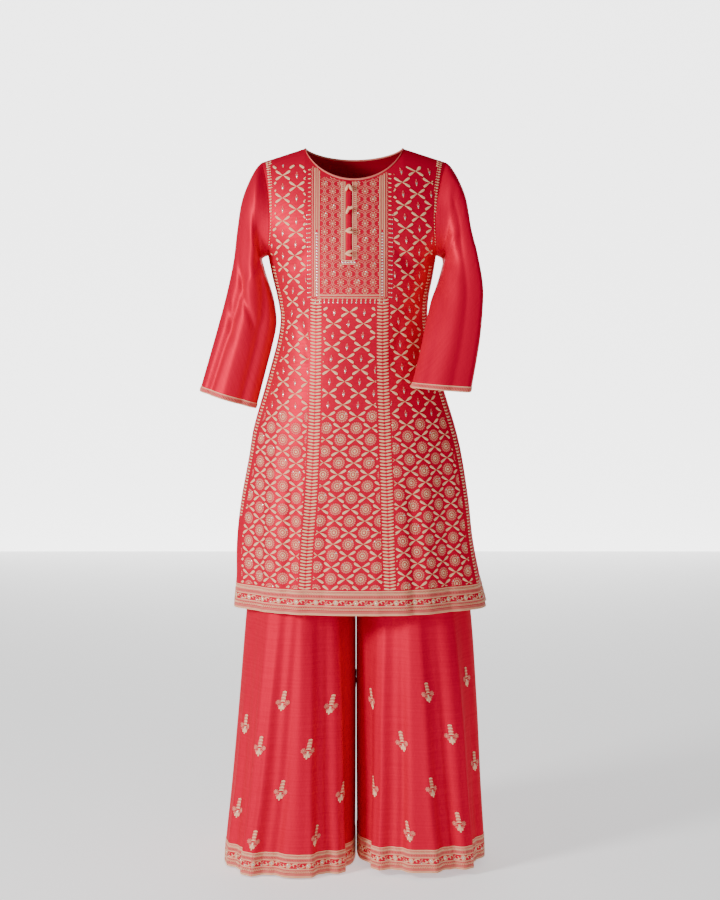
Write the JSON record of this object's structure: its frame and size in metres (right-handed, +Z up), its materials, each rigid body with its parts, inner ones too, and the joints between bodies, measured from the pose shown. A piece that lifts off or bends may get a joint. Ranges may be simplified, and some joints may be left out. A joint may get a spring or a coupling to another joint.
{
  "type": "sharara suit",
  "caption": "Red silk sharara suit: A-line kurta with three-quarter sleeves and cream lattice embroidery, over a wide two-legged sharara with embroidered borders",
  "frame": {"origin": "the middle of the shoulder line, where the wearer's shoulders carry the suit", "axes": "+Z up along the suit, +X to the viewer's right, the front faces -Y"},
  "size_m": [0.5883, 0.3758, 1.4471],
  "materials": {
    "silk": "soft satin silk with a fine slub",
    "embroidery": "cream thread embroidery with sequins on red silk",
    "potli": "cream silk thread"
  },
  "bodies": {
    "root": {"kurta_front_centre": "silk", "kurta_front_left": "silk", "kurta_front_right": "silk", "kurta_back": "silk", "placket": "silk", "sleeve_left": "silk", "sleeve_right": "silk", "waistband": "silk", "leg_left_front": "silk", "leg_left_back": "silk", "leg_right_front": "silk", "leg_right_back": "silk", "yoke_panel": "embroidery", "gore_band_left": "embroidery", "gore_band_right": "embroidery", "armhole_band_left": "embroidery", "armhole_band_right": "embroidery", "hem_border_front": "embroidery", "hem_border_back": "embroidery", "neck_binding": "embroidery", "sleeve_trim_left": "embroidery", "sleeve_trim_right": "embroidery", "leg_border_left_front": "embroidery", "leg_border_left_back": "embroidery", "leg_border_right_front": "embroidery", "leg_border_right_back": "embroidery", "button_1": "potli", "button_2": "potli", "button_3": "potli", "button_4": "potli"}
  },
  "joints": []
}
